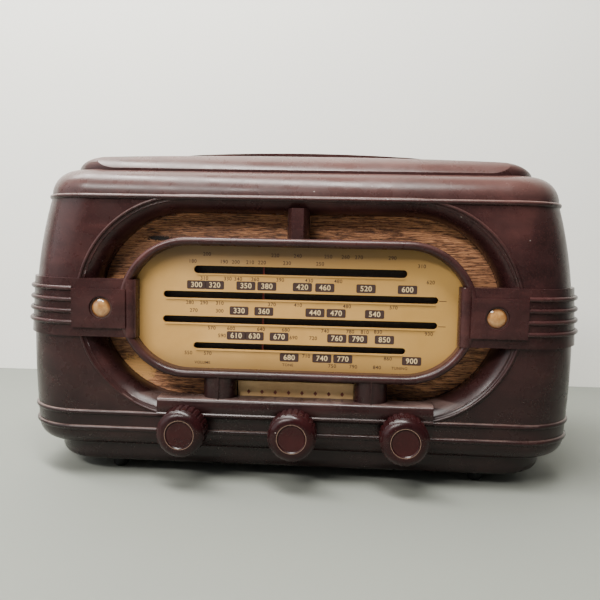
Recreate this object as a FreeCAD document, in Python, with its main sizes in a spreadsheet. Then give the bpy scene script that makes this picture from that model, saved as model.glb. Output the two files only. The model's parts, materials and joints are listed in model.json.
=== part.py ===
import FreeCAD, Part
import math
import os
import Sketcher
from FreeCAD import Vector

# A bakelite table radio. Millimetres, +Z up, +X to the listener's right, the dial faces -Y.
# The origin is on the surface the radio stands on, at the middle of its width and depth.

DIMENSIONS = {
    # cabinet
    "front_y": -91.0,  # the flat front face
    "cabinet_depth": 205.0,
    "wall": 4.0,
    "half_width": 216.0,  # the widest body section, without band and beads
    "plinth_z": 9.5,
    "plinth_top_z": 24.5,
    "lid_z": 217.0,
    "tier_top_z": 238.5,
    "crown_top_z": 252.0,
    "centre_z": 134.5,  # centre line of bezel, dial and portholes
    # grille opening and dial, all stadium shapes
    "bezel_radius": 83.5,
    "bezel_centre_x": 84.0,
    "cove_radius": 72.0,
    "cove_depth": 25.0,
    "dial_centre_x": 81.5,
    "dial_outer_radius": 53.5,
    "dial_inner_radius": 47.0,
    "dial_half_length": 120.5,
    # band round the cabinet
    "band_low_z": 111.0,
    "band_high_z": 155.0,
    "band_proud": 2.5,
    "wing_panel_low_z": 118.0,
    "wing_panel_high_z": 147.4,
    "porthole_x": 147.5,
    # ledge under the opening
    "ledge_half_length": 104.0,
    "ledge_low_z": 53.0,
    "ledge_high_z": 66.0,
    # controls
    "knob_z": 43.8,
    "knob_pitch": 82.0,
    "knob_radius": 17.0,
    "shaft_radius": 3.0,
    # drive train
    "drum_x": 50.0,
    "drum_z": 110.0,
    "drum_radius": 63.7,  # where the cords lie in their grooves
    "spindle_radius": 5.0,
    "idler_radius": 6.0,
    "idler_x": 116.0,
    "idler_z": 172.5,
    "cord_radius": 0.4,
    # speaker
    "speaker_x": -72.0,
    "speaker_z": 110.0,
    "speaker_radius": 50.0,
    # chassis
    "chassis_low_z": 20.0,
    "chassis_high_z": 62.0,
    "chassis_half_width": 185.0,
    "sheet": 1.2,
    # feet
    "foot_x": 144.0,
    "foot_radius": 9.0,
}

doc = FreeCAD.newDocument("table_radio")
sheet = doc.addObject("Spreadsheet::Sheet", "Dims")
for row, (alias, number) in enumerate(DIMENSIONS.items(), start=1):
    sheet.set(f"A{row}", alias)
    sheet.set(f"B{row}", str(number))
    sheet.setAlias(f"B{row}", alias)
doc.recompute()

finished = []  # the sub-parts that are written out


def num(expression):
    """The number an expression in the sheet's aliases stands for."""
    if isinstance(expression, (int, float)):
        return float(expression)
    found = sheet.evalExpression(expression)
    return float(getattr(found, "Value", found))


def dim(alias):
    return float(DIMENSIONS[alias])


FRONT = dim("front_y")
REAR = FRONT + dim("cabinet_depth")
CENTRE_Z = dim("centre_z")


def bind(thing, prop, expression):
    """Ties a property to the sheet when it is given as an expression."""
    if isinstance(expression, str):
        thing.setExpression(prop, expression)


def keep(thing, label):
    thing.Label = label
    finished.append(thing)
    return thing


# ---------------------------------------------------------------- PartDesign helpers


def new_body(label):
    return keep(doc.addObject("PartDesign::Body", label), label)


def new_sketch(body, role, offset, name):
    """A sketch on one of the body's own origin planes, moved along the plane's normal."""
    sketch = body.newObject("Sketcher::SketchObject", name)
    plane = next(f for f in body.Origin.OriginFeatures if f.Role == role)
    sketch.AttachmentSupport = (plane, "")
    sketch.MapMode = "FlatFace"
    sketch.AttachmentOffset = FreeCAD.Placement(Vector(0, 0, num(offset)), FreeCAD.Rotation())
    bind(sketch, "AttachmentOffset.Base.z", offset)
    return sketch


def front_sketch(body, y, name):
    """A sketch seen from the front, x to the right and z up, at that y. Its normal is -Y."""
    return new_sketch(body, "XZ_Plane", f"-({y})", name)


def plan_sketch(body, z, name):
    """A sketch seen from above, at that z."""
    return new_sketch(body, "XY_Plane", z, name)


def side_sketch(body, x, name):
    """A sketch of y to the right and z up, at that x. Its normal is +X."""
    return new_sketch(body, "YZ_Plane", x, name)


def fix_point(sketch, index, point, across, up):
    """Places a point of a sketch element from the sketch's origin, tied to the sheet."""
    for kind, axis, where in (("DistanceX", -2, across), ("DistanceY", -1, up)):
        if abs(num(where)) < 1e-9:
            sketch.addConstraint(Sketcher.Constraint("PointOnObject", index, point, axis))
        else:
            number = sketch.addConstraint(
                Sketcher.Constraint(kind, -1, 1, index, point, num(where))
            )
            bind(sketch, f"Constraints[{number}]", where)


def add_circle(sketch, across, up, radius):
    centre = Vector(num(across), num(up), 0)
    index = sketch.addGeometry(Part.Circle(centre, Vector(0, 0, 1), num(radius)), False)
    number = sketch.addConstraint(Sketcher.Constraint("Radius", index, num(radius)))
    bind(sketch, f"Constraints[{number}]", radius)
    fix_point(sketch, index, 3, across, up)


def add_outline(sketch, points):
    """A closed outline of straight lines."""
    corners = [Vector(num(a), num(b), 0) for a, b in points]
    lines = [Part.LineSegment(a, b) for a, b in zip(corners, corners[1:] + corners[:1])]
    first = sketch.GeometryCount
    sketch.addGeometry(lines, False)
    for k in range(len(lines)):
        after = first + (k + 1) % len(lines)
        sketch.addConstraint(Sketcher.Constraint("Coincident", first + k, 2, after, 1))
    return first


def add_rectangle(sketch, left, right, low, high):
    first = add_outline(sketch, [(left, low), (right, low), (right, high), (left, high)])
    for side, kind in enumerate(("Horizontal", "Vertical", "Horizontal", "Vertical")):
        sketch.addConstraint(Sketcher.Constraint(kind, first + side))
    fix_point(sketch, first, 1, left, low)
    fix_point(sketch, first + 1, 2, right, high)


def add_chain(sketch, pieces):
    """Lines and arcs that follow one another. Each piece is two points, or three for an arc."""
    made = []
    for piece in pieces:
        points = [Vector(a, b, 0) for a, b in piece]
        if len(points) == 2:
            made.append(Part.LineSegment(*points))
        else:
            made.append(Part.Arc(*points))
    sketch.addGeometry(made, False)


def stadium(centre_x, centre_z, radius):
    """The pieces of a stadium: two straight runs joined by half circles."""
    top = centre_z + radius
    low = centre_z - radius
    return [
        [(-centre_x, top), (centre_x, top)],
        [(centre_x, top), (centre_x + radius, centre_z), (centre_x, low)],
        [(centre_x, low), (-centre_x, low)],
        [(-centre_x, low), (-centre_x - radius, centre_z), (-centre_x, top)],
    ]


def plan_outline(half_width, front, rear, front_radius, rear_radius):
    """The pieces of a plan view with round corners, anticlockwise from the front left."""
    w = half_width
    a = front_radius
    b = rear_radius
    near = math.sqrt(0.5)
    return [
        [(-w + a, front), (w - a, front)],
        [(w - a, front), (w - a + a * near, front + a - a * near), (w, front + a)],
        [(w, front + a), (w, rear - b)],
        [(w, rear - b), (w - b + b * near, rear - b + b * near), (w - b, rear)],
        [(w - b, rear), (-w + b, rear)],
        [(-w + b, rear), (-w + b - b * near, rear - b + b * near), (-w, rear - b)],
        [(-w, rear - b), (-w, front + a)],
        [(-w, front + a), (-w + a - a * near, front + a - a * near), (-w + a, front)],
    ]


def pad(body, sketch, length, backwards=False, both=False, name="Pad"):
    feature = body.newObject("PartDesign::Pad", name)
    feature.Profile = sketch
    feature.Length = num(length)
    bind(feature, "Length", length)
    feature.Reversed = backwards
    feature.Midplane = both
    feature.Refine = False
    return feature


def pocket(body, sketch, length, backwards=False, both=False, name="Pocket"):
    feature = body.newObject("PartDesign::Pocket", name)
    feature.Profile = sketch
    feature.Length = num(length)
    bind(feature, "Length", length)
    feature.Reversed = backwards
    feature.Midplane = both
    feature.Refine = False
    return feature


def revolve(body, sketch, cut=False, angle=360.0, backwards=False, axis="V_Axis"):
    kind = "Groove" if cut else "Revolution"
    feature = body.newObject(f"PartDesign::{kind}", kind)
    feature.Profile = sketch
    feature.ReferenceAxis = (sketch, [axis])
    feature.Angle = angle
    feature.Reversed = backwards
    feature.Refine = False
    return feature


def pipe(body, profile, spine, name="Bead"):
    feature = body.newObject("PartDesign::AdditivePipe", name)
    feature.Profile = profile
    feature.Spine = (spine, [f"Edge{n + 1}" for n in range(spine.GeometryCount)])
    feature.Refine = False
    return feature


def loft(body, sketches, cut=False):
    kind = "SubtractiveLoft" if cut else "AdditiveLoft"
    feature = body.newObject(f"PartDesign::{kind}", kind)
    feature.Profile = sketches[0]
    feature.Sections = sketches[1:]
    feature.Refine = False
    return feature


def mirror_all(body, features):
    """Repeats the features on the other side of the middle plane."""
    feature = body.newObject("PartDesign::Mirrored", "Mirrored")
    plane = next(f for f in body.Origin.OriginFeatures if f.Role == "YZ_Plane")
    feature.Originals = features
    feature.MirrorPlane = (plane, [""])
    feature.Refine = False
    body.Tip = feature
    return feature


def round_edges(body, feature, chosen, radius, name="Fillet"):
    """Rounds the edges of the feature's solid that chosen() picks."""
    doc.recompute()
    names = [f"Edge{n + 1}" for n, e in enumerate(feature.Shape.Edges) if chosen(e)]
    fillet = body.newObject("PartDesign::Fillet", name)
    fillet.Base = (feature, names)
    fillet.Radius = num(radius)
    bind(fillet, "Radius", radius)
    return fillet


# ---------------------------------------------------------------- cabinet

# Plan sections of the barrel-shaped body: height, half width, set back of the front.
BODY_SECTIONS = [(38.0, 214.0, 0.0), (100.0, 216.5, 0.0), (160.0, 213.0, 0.0), (217.0, 201.0, 0.0)]
FRONT_CORNER = 46.0
REAR_CORNER = 3.0


BACK_SCREWS = [(side * x, z) for side in (-1, 1) for x, z in ((206.0, 64.0), (203.0, 168.0))]
CHASSIS_BOLTS = [(x, d) for x in (-160.0, 160.0) for d in (62.0, 178.0)]
BAFFLE_SCREWS = [(x, CENTRE_Z + up) for x in (-92.0, 92.0) for up in (-74.0, 74.0)]
FEET = [(x, d) for x in (-dim("foot_x"), dim("foot_x")) for d in (31.5, 164.0)]


def body_half_width(z):
    """The body's half width at a height, through its plan sections."""
    for (z0, w0, _), (z1, w1, _) in zip(BODY_SECTIONS, BODY_SECTIONS[1:]):
        if z0 <= z <= z1:
            share = (z - z0) / (z1 - z0)
            return w0 + (w1 - w0) * share
    return BODY_SECTIONS[0][1]


def plan_section(body, z, half_width, set_back, name, rear=REAR, corner=FRONT_CORNER):
    sketch = plan_sketch(body, z, name)
    outline = plan_outline(half_width, FRONT + set_back, rear, corner, REAR_CORNER)
    add_chain(sketch, outline)
    return sketch


def is_level(edge, z):
    box = edge.BoundBox
    return abs(box.ZMin - z) < 0.02 and abs(box.ZMax - z) < 0.02


def cabinet_outside(body):
    """Body, base, lid tiers and plinth as one solid block."""
    sections = [
        plan_section(body, z, w, back, f"BodyPlan{n}")
        for n, (z, w, back) in enumerate(BODY_SECTIONS)
    ]
    loft(body, sections)
    base_low = dim("plinth_top_z")
    base = plan_section(body, base_low, 214.0, 0.0, "BasePlan")
    under = pad(body, base, BODY_SECTIONS[0][0] - base_low, name="Base")
    round_edges(body, under, lambda e: is_level(e, base_low), 13.0, "BaseRound")
    tier = plan_section(body, "Dims.lid_z", 201.0, 0.0, "TierPlan")
    tier_pad = pad(body, tier, "Dims.tier_top_z - Dims.lid_z", name="LidTier")
    top = dim("tier_top_z")
    round_edges(body, tier_pad, lambda e: is_level(e, top), 20.5, "TierRound")
    crown = plan_section(body, "Dims.tier_top_z - 3", 182.0, 14.0, "CrownPlan", REAR - 12, 40.0)
    crown_pad = pad(body, crown, "Dims.crown_top_z - Dims.tier_top_z + 3", name="Crown")
    high = dim("crown_top_z")
    cut = arch_cut(body, 190.0, 5.2, high, "CrownCamber")
    round_edges(body, cut, lambda e: e.BoundBox.ZMin > high - 6.0, 8.5, "CrownRound")
    crown_shoulders(body, high)
    crown_brow(body, high)
    plinth = plan_section(body, "Dims.plinth_z", 197.0, 9.5, "PlinthPlan", REAR - 6, 42.0)
    foot = pad(body, plinth, "Dims.plinth_top_z - Dims.plinth_z + 4", name="Plinth")
    round_edges(body, foot, lambda e: is_level(e, dim("plinth_z")), 8.0, "PlinthRound")


def arch_cut(body, reach, drop, peak, name):
    """Cuts away everything above a long shallow arch seen from the front."""
    above = front_sketch(body, "Dims.front_y - 20", name)
    low = peak - drop
    roof = peak + 9.0
    pieces = [[(-reach, low), (0.0, peak), (reach, low)], [(reach, low), (reach, roof)]]
    pieces += [[(reach, roof), (-reach, roof)], [(-reach, roof), (-reach, low)]]
    add_chain(above, pieces)
    return pocket(body, above, 300.0, name=f"{name}Cut")


def crown_shoulders(body, peak):
    """Rounds the crown's two ends down to the tier below it."""
    arc = [(152.0, peak - 3.33), (167.95, peak - 6.7), (182.0, peak - 15.0)]
    start = arc[0][0]
    end, low_end = arc[2]
    roof = peak + 9.0
    out = end + 12.0
    closing = [arc[2], (out, low_end), (out, roof), (start, roof), arc[0]]
    shoulders = front_sketch(body, "Dims.front_y - 20", "CrownShoulders")
    add_chain(shoulders, [arc] + [[a, b] for a, b in zip(closing, closing[1:])])
    cut = pocket(body, shoulders, 300.0, name="CrownShouldersCut")
    mirror_all(body, [cut])


def crown_brow(body, peak):
    """Slopes the crown's front down to the tier in one long curve."""
    front = FRONT + 14.0
    foot = dim("tier_top_z") + 1.0
    arc = [(front + 22.6, peak), (front + 9.7, peak - 3.33), (front, foot)]
    closing = [arc[2], (front - 10.0, foot), (front - 10.0, peak + 9.0)]
    closing += [(arc[0][0], peak + 9.0), arc[0]]
    brow = side_sketch(body, 0, "CrownBrow")
    add_chain(brow, [arc] + [[a, b] for a, b in zip(closing, closing[1:])])
    pocket(body, brow, 500.0, both=True, name="CrownBrowCut")


def top_panel(body):
    """The low arched panel on top of the crown."""
    peak = dim("crown_top_z") + 5.8
    outline = plan_sketch(body, "Dims.crown_top_z - 8", "TopPanelPlan")
    add_chain(outline, plan_outline(117.0, FRONT + 60.0, FRONT + 165.0, 34.0, 34.0))
    pad(body, outline, 18.0, name="TopPanel")
    arch_cut(body, 190.0, 11.0, peak, "TopPanelArch")


def wrap_path(body, z, half_width, front, inner_x, name):
    """From the right rear corner round the front corner, and along the front to inner_x."""
    near = math.sqrt(0.5)
    r = FRONT_CORNER
    w = half_width
    spine = plan_sketch(body, z, name)
    arc = [(w, front + r), (w - r + r * near, front + r - r * near), (w - r, front)]
    pieces = [[(w, REAR - 16.0), (w, front + r)], arc, [(w - r, front), (inner_x, front)]]
    add_chain(spine, pieces)
    return spine


def bead_round(body, z, radius, proud, inner_x, name):
    """A half-round bead on the right side of the cabinet, ending at inner_x on the front."""
    half_width = body_half_width(z) + proud
    spine = wrap_path(body, z, half_width, FRONT - proud, inner_x, f"{name}Path")
    profile = front_sketch(body, REAR - 16.0, f"{name}Profile")
    add_circle(profile, half_width, z, radius)
    return pipe(body, profile, spine, name)


def band_and_beads(body):
    """The band round the body, its ribs, and the beads of lid and base, both sides at once."""
    low = dim("band_low_z")
    high = dim("band_high_z")
    middle = (low + high) / 2
    proud = dim("band_proud")
    sections = [
        plan_section(body, z, body_half_width(z) + proud, -proud, f"Band{n}", REAR - 2, 48.0)
        for n, z in enumerate((low, middle, high))
    ]
    loft(body, sections)
    beads = []
    pitch = (dim("wing_panel_high_z") - 121.5) / 3
    for n in range(4):
        z = 121.5 + pitch * n
        beads.append(bead_round(body, z, 1.8, proud, 170.0, f"Rib{n}"))
    beads.append(bead_round(body, dim("lid_z"), 1.9, 0.0, 0.0, "LidBead"))
    beads.append(bead_round(body, 51.7, 1.9, 0.0, 0.0, "BaseBeadHigh"))
    beads.append(bead_round(body, 39.4, 1.9, 0.0, 0.0, "BaseBeadLow"))
    mirror_all(body, beads)


def hollow(body):
    """Opens the inside, up into the lid, and the hollow under the floor."""
    wall = dim("wall")
    floor_top = dim("chassis_low_z")
    inside = [(38.0, 209.5, wall), (100.0, 212.0, wall), (160.0, 208.5, wall)]
    inside.append((216.0, 196.5, wall))
    rear = REAR + 20.0
    sections = [
        plan_section(body, z, w, back, f"Inside{n}", rear, 42.0)
        for n, (z, w, back) in enumerate(inside)
    ]
    loft(body, sections, cut=True)
    steps = [(floor_top, 8.5, 190.0, 16.0, rear), (28.0, 10.5, 203.0, 8.0, rear)]
    steps += [(216.0, 12.0, 185.0, 16.0, rear), (228.0, 14.0, 158.0, 34.0, REAR - 16.0)]
    for n, (z, rise, half_width, back, end) in enumerate(steps):
        step = plan_section(body, z, half_width, back, f"InsideStep{n}", end, 30.0)
        pocket(body, step, rise, backwards=True, name=f"InsideStepCut{n}")
    under = plan_section(body, "Dims.plinth_z", 185.0, 21.5, "UnderFloor", REAR - 18, 36.0)
    pocket(body, under, 6.5, backwards=True, name="UnderFloorHollow")


def grille_opening(body):
    """A raised wall inside the front, then the concave cove cut through it."""
    centre_x = dim("bezel_centre_x")
    radius = dim("bezel_radius")
    inner = dim("cove_radius")
    depth = dim("cove_depth")
    wall = front_sketch(body, "Dims.front_y + Dims.wall - 1", "CoveWallOutline")
    add_chain(wall, stadium(centre_x, CENTRE_Z, 83.0))
    pad(body, wall, "Dims.cove_depth - Dims.wall + 1", backwards=True, name="CoveWall")
    lip = radius - 1.5
    bulge_y = FRONT + depth * 0.30
    bulge_r = inner + (lip - inner) * 0.24
    profile = [
        [(FRONT - 8.0, lip), (FRONT, lip)],
        [(FRONT, lip), (bulge_y, bulge_r), (FRONT + depth - 3.0, inner)],
        [(FRONT + depth - 3.0, inner), (FRONT + depth + 3.0, inner)],
    ]
    straight = side_sketch(body, 0, "CoveStraight")
    above = [[(y, CENTRE_Z + r) for y, r in piece] for piece in profile]
    below = [[(y, CENTRE_Z - r) for y, r in reversed(piece)] for piece in reversed(profile)]
    ends = FRONT + depth + 3.0
    near = FRONT - 8.0
    add_chain(straight, above)
    add_chain(straight, [[(ends, CENTRE_Z + inner), (ends, CENTRE_Z - inner)]])
    add_chain(straight, below)
    add_chain(straight, [[(near, CENTRE_Z - lip), (near, CENTRE_Z + lip)]])
    pocket(body, straight, 2 * centre_x, both=True, name="CoveRun")
    for side, name in ((1, "CoveRight"), (-1, "CoveLeft")):
        turned = side_sketch(body, side * centre_x, f"{name}Profile")
        add_chain(turned, above)
        add_chain(turned, [[(ends, CENTRE_Z + inner), (ends, CENTRE_Z)]])
        add_chain(turned, [[(ends, CENTRE_Z), (near, CENTRE_Z)]])
        add_chain(turned, [[(near, CENTRE_Z), (near, CENTRE_Z + lip)]])
        turned.addGeometry(
            Part.LineSegment(Vector(near, CENTRE_Z, 0), Vector(ends, CENTRE_Z, 0)), True
        )
        groove = revolve(body, turned, cut=True, axis="Axis0")
        groove.Label = name
    screws = front_sketch(body, "Dims.front_y + Dims.cove_depth - 8", "BaffleScrewHoles")
    for x, z in BAFFLE_SCREWS:
        add_circle(screws, x, z, 1.35)
    pocket(body, screws, 12.0, name="BaffleScrewHolesCut")


def bezel_beads(body):
    """A bead round the bezel's lip and a finer one inside it."""
    for radius, size, y, name in ((83.5, 1.3, 0.0, "BezelBead"), (80.6, 0.7, 1.2, "BezelInner")):
        spine = front_sketch(body, f"Dims.front_y + {y}", f"{name}Path")
        add_chain(spine, stadium(dim("bezel_centre_x"), CENTRE_Z, radius))
        profile = side_sketch(body, 0, f"{name}Profile")
        add_circle(profile, f"Dims.front_y + {y}", f"Dims.centre_z + {radius}", size)
        pipe(body, profile, spine, name)


def dial_frame(body):
    """The ring round the dial, with a half-round crest, and a rebate for the panel behind it."""
    centre_x = dim("dial_centre_x")
    ring = front_sketch(body, "Dims.front_y - 0.5", "DialRing")
    add_chain(ring, stadium(centre_x, CENTRE_Z, dim("dial_outer_radius")))
    add_chain(ring, stadium(centre_x, CENTRE_Z, dim("dial_inner_radius")))
    pad(body, ring, 12.5, backwards=True, name="DialRingPad")
    spine = front_sketch(body, "Dims.front_y - 0.5", "DialCrestPath")
    add_chain(spine, stadium(centre_x, CENTRE_Z, 50.3))
    profile = side_sketch(body, 0, "DialCrestProfile")
    add_circle(profile, "Dims.front_y - 0.5", "Dims.centre_z + 50.3", 3.1)
    pipe(body, profile, spine, "DialCrest")
    rebate = front_sketch(body, "Dims.front_y + 8", "DialRebate")
    add_chain(rebate, stadium(centre_x, CENTRE_Z, 50.0))
    return rebate


def wings(body):
    """The ends of the band that cross the cove to the dial frame, with panels and portholes."""
    low = "Dims.band_low_z"
    high = "Dims.band_high_z"
    made = []
    wing = front_sketch(body, "Dims.front_y - Dims.band_proud", "WingOutline")
    add_rectangle(wing, "Dims.dial_half_length + 0.5", 172.0, low, high)
    made.append(pad(body, wing, "8 + Dims.band_proud", backwards=True, name="Wing"))
    panel = front_sketch(body, "Dims.front_y - Dims.band_proud - 2.0", "WingPanel")
    add_rectangle(panel, 128.5, 170.0, "Dims.wing_panel_low_z", "Dims.wing_panel_high_z")
    made.append(pad(body, panel, 4.0, backwards=True, name="WingPanelPad"))
    stile = plan_sketch(body, low, "DialStile")
    add_circle(stile, "Dims.dial_half_length + 5.2", "Dims.front_y + 1.0", 5.2)
    made.append(pad(body, stile, "Dims.band_high_z - Dims.band_low_z", name="DialStilePad"))
    mirror_all(body, made)
    holes = []
    mouth = front_sketch(body, "Dims.front_y - Dims.band_proud - 3", "PortholeMouth")
    add_circle(mouth, "Dims.porthole_x", "Dims.centre_z - 1.5", 8.9)
    holes.append(pocket(body, mouth, 2.2 + 0.5, name="PortholeMouthCut"))
    bore = front_sketch(body, "Dims.front_y - Dims.band_proud - 3", "PortholeBore")
    add_circle(bore, "Dims.porthole_x", "Dims.centre_z - 1.5", 7.4)
    holes.append(pocket(body, bore, 20.0, name="PortholeBoreCut"))
    mirror_all(body, holes)


def post(body, x, low, high, front, half_width, half_face, bulge, name):
    """An upright post seen from above: a narrow face, cheeks that bulge, and a straight back."""
    outline = plan_sketch(body, low, name)
    back_y = FRONT + dim("cove_depth") - 1.0
    shoulder_y = FRONT + 9.0
    cheek_x = (half_width + half_face) / 2 + bulge
    cheek_y = (front + shoulder_y) / 2 - bulge
    pieces = [
        [(x + half_face, front), (x + cheek_x, cheek_y), (x + half_width, shoulder_y)],
        [(x + half_width, shoulder_y), (x + half_width, back_y)],
        [(x + half_width, back_y), (x - half_width, back_y)],
        [(x - half_width, back_y), (x - half_width, shoulder_y)],
        [(x - half_width, shoulder_y), (x - cheek_x, cheek_y), (x - half_face, front)],
        [(x - half_face, front), (x + half_face, front)],
    ]
    add_chain(outline, pieces)
    return pad(body, outline, high - low, name=f"{name}Pad")


def barrel_post(body, x, low, high, name):
    """A low post: a broad barrel front with a thin fin up its middle."""
    outline = plan_sketch(body, low, name)
    back_y = FRONT + dim("cove_depth") - 1.0
    side_y = FRONT + 6.0
    groove_y = FRONT - 2.2
    fin_y = FRONT - 3.4
    near_y = FRONT - 0.6
    pieces = [
        [(x + 0.5, fin_y), (x + 0.5, groove_y)],
        [(x + 0.5, groove_y), (x + 7.6, near_y), (x + 12.4, side_y)],
        [(x + 12.4, side_y), (x + 12.4, back_y)],
        [(x + 12.4, back_y), (x - 12.4, back_y)],
        [(x - 12.4, back_y), (x - 12.4, side_y)],
        [(x - 12.4, side_y), (x - 7.6, near_y), (x - 0.5, groove_y)],
        [(x - 0.5, groove_y), (x - 0.5, fin_y)],
        [(x - 0.5, fin_y), (x + 0.5, fin_y)],
    ]
    add_chain(outline, pieces)
    pad(body, outline, high - low, name=f"{name}Pad")


def posts_and_ledge(body):
    low = CENTRE_Z + 51.0
    post(body, 0.0, low, low + 25.0, FRONT - 1.5, 8.2, 4.4, 0.4, "TopPost")
    for side in (-1, 1):
        barrel_post(body, side * 57.7, 60.0, 84.0, f"LowPost{side + 1}")
    ledge = side_sketch(body, 0, "LedgeSection")
    low = dim("ledge_low_z")
    high = dim("ledge_high_z")
    back = FRONT + 11.0
    face = FRONT - 5.0
    section = [
        [(back, low - 2.0), (back, high)],
        [(back, high), (face + 3.6, high)],
        [(face + 3.6, high), (face + 0.9, high - 1.1), (face, high - 3.8)],
        [(face, high - 3.8), (face - 0.5, high - 7.6), (face, low + 2.0)],
        [(face, low + 2.0), (face - 1.0, low + 1.2)],
        [(face - 1.0, low + 1.2), (face - 1.0, low - 0.2)],
        [(face - 1.0, low - 0.2), (face + 2.4, low - 2.0)],
        [(face + 2.4, low - 2.0), (back, low - 2.0)],
    ]
    add_chain(ledge, section)
    pad(body, ledge, "2 * Dims.ledge_half_length", both=True, name="Ledge")


def back_bosses(body):
    """A sill under the back opening, and four bosses that take the back cover's screws."""
    sill = front_sketch(body, REAR - 10.0, "RearSill")
    add_rectangle(sill, -195.0, 195.0, 17.0, 31.0)
    pad(body, sill, 10.0, backwards=True, name="RearSillPad")
    bosses = front_sketch(body, REAR - 16.0, "BackBosses")
    for x, z in BACK_SCREWS:
        out = math.copysign(6.5, x)
        add_rectangle(bosses, *sorted((x - out, x + out)), z - 6.0, z + 6.0)
    pad(body, bosses, 16.0, backwards=True, name="BackBossesPad")
    screws = front_sketch(body, REAR - 12.0, "BackScrewHoles")
    for x, z in BACK_SCREWS:
        add_circle(screws, x, z, 1.55)
    pocket(body, screws, 16.0, name="BackScrewHolesCut")


def cabinet_holes(body):
    """Spindle holes in the front, and holes in the floor for chassis bolts and feet."""
    spindles = front_sketch(body, "Dims.front_y - 8", "SpindleHoles")
    for side in (-1, 0, 1):
        add_circle(spindles, f"{side} * Dims.knob_pitch", "Dims.knob_z", 5.0)
    pocket(body, spindles, 30.0, name="SpindleHolesCut")
    bolts = plan_sketch(body, 0, "FloorHoles")
    for x, d in CHASSIS_BOLTS:
        add_circle(bolts, x, FRONT + d, 2.3)
    for x, d in FEET:
        add_circle(bolts, x, FRONT + d, 3.1)
    pocket(body, bolts, 40.0, backwards=True, name="FloorHolesCut")


def make_cabinet():
    body = new_body("cabinet")
    cabinet_outside(body)
    top_panel(body)
    band_and_beads(body)
    hollow(body)
    grille_opening(body)
    bezel_beads(body)
    rebate = dial_frame(body)
    wings(body)
    pocket(body, rebate, 6.0, name="DialRebateCut")
    posts_and_ledge(body)
    back_bosses(body)
    cabinet_holes(body)


# ---------------------------------------------------------------- simple solids


def behind(depth):
    """The y of a depth behind the front face, as an expression."""
    return f"Dims.front_y + {depth}"


def put(solid, x, y, z):
    for axis, where in zip("xyz", (x, y, z)):
        setattr(solid.Placement.Base, axis, num(where))
        bind(solid, f"Placement.Base.{axis}", f"{where}")
    return solid


def block(left, right, front, back, low, high):
    """A box between two x, two depths behind the front face, and two heights."""
    solid = doc.addObject("Part::Box", "Block")
    for prop, start, end in (("Length", left, right), ("Width", front, back), ("Height", low, high)):
        solid.setExpression(prop, f"({end}) - ({start})")
    return put(solid, left, behind(front), low)


def rod(x, z, radius, front, back, angle=360.0, turn=0.0):
    """A cylinder along Y between two depths; it may be a sector that starts at turn."""
    solid = doc.addObject("Part::Cylinder", "Rod")
    solid.setExpression("Radius", f"{radius}")
    solid.setExpression("Height", f"({back}) - ({front})")
    solid.Angle = angle
    lie_down = FreeCAD.Rotation(Vector(1, 0, 0), -90)
    solid.Placement.Rotation = lie_down * FreeCAD.Rotation(Vector(0, 0, 1), turn)
    return put(solid, x, behind(front), z)


def peg(x, depth, radius, low, high):
    """An upright cylinder."""
    solid = doc.addObject("Part::Cylinder", "Peg")
    solid.setExpression("Radius", f"{radius}")
    solid.setExpression("Height", f"({high}) - ({low})")
    return put(solid, x, behind(depth), low)


def tapered_peg(x, depth, low_radius, high_radius, low, high):
    """An upright cone, cut off at both ends."""
    solid = doc.addObject("Part::Cone", "TaperedPeg")
    solid.setExpression("Radius1", f"{low_radius}")
    solid.setExpression("Radius2", f"{high_radius}")
    solid.setExpression("Height", f"({high}) - ({low})")
    return put(solid, x, behind(depth), low)


def bar(z, depth, radius, left, right):
    """A cylinder along X."""
    solid = doc.addObject("Part::Cylinder", "Bar")
    solid.setExpression("Radius", f"{radius}")
    solid.setExpression("Height", f"({right}) - ({left})")
    solid.Placement.Rotation = FreeCAD.Rotation(Vector(0, 1, 0), 90)
    return put(solid, left, behind(depth), z)


def fuse(solids):
    if len(solids) == 1:
        return solids[0]
    joined = doc.addObject("Part::MultiFuse", "Fuse")
    joined.Shapes = solids
    return joined


def less(solid, tools):
    cut = doc.addObject("Part::Cut", "Cut")
    cut.Base = solid
    cut.Tool = fuse(tools)
    return cut


# ---------------------------------------------------------------- turned and flat parts


def outline_of(points):
    """Pieces through the points and back to the first. A pair of points is an arc's."""
    pieces = []
    here = points[0]
    for step in points[1:] + points[:1]:
        if isinstance(step[0], tuple):
            pieces.append([here, step[0], step[1]])
            here = step[1]
        elif here != step:
            pieces.append([here, step])
            here = step
    return pieces


def shifted(pieces, across, up):
    return [[(a + across, b + up) for a, b in piece] for piece in pieces]


def turn_about(sketch, start, end):
    """Adds the axis line that the sketch is turned about."""
    sketch.addGeometry(Part.LineSegment(Vector(*start, 0), Vector(*end, 0)), True)


def turned(label, x, z, points):
    """A round part about an axis along Y, from (depth, radius) points."""
    body = new_body(label)
    sketch = side_sketch(body, x, f"Turned_{label}")
    add_chain(sketch, shifted(outline_of(points), FRONT, num(z)))
    turn_about(sketch, (FRONT, num(z)), (FRONT + 50.0, num(z)))
    revolve(body, sketch, axis="Axis0")
    return body


def upright(label, x, depth, points):
    """A round part about a vertical axis, from (radius, height) points."""
    body = new_body(label)
    sketch = front_sketch(body, behind(depth), f"Turned_{label}")
    add_chain(sketch, shifted(outline_of(points), x, 0.0))
    turn_about(sketch, (x, 0.0), (x, 50.0))
    revolve(body, sketch, axis="Axis0")
    return body


def plate(label, front, back, loops, circles=()):
    """A flat plate seen from the front: chains of pieces, and round holes (x, z, radius)."""
    body = new_body(label)
    sketch = front_sketch(body, behind(front), f"Outline_{label}")
    for loop in loops:
        add_chain(sketch, loop)
    for x, z, radius in circles:
        add_circle(sketch, x, z, radius)
    pad(body, sketch, f"({back}) - ({front})", backwards=True)
    return body


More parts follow.
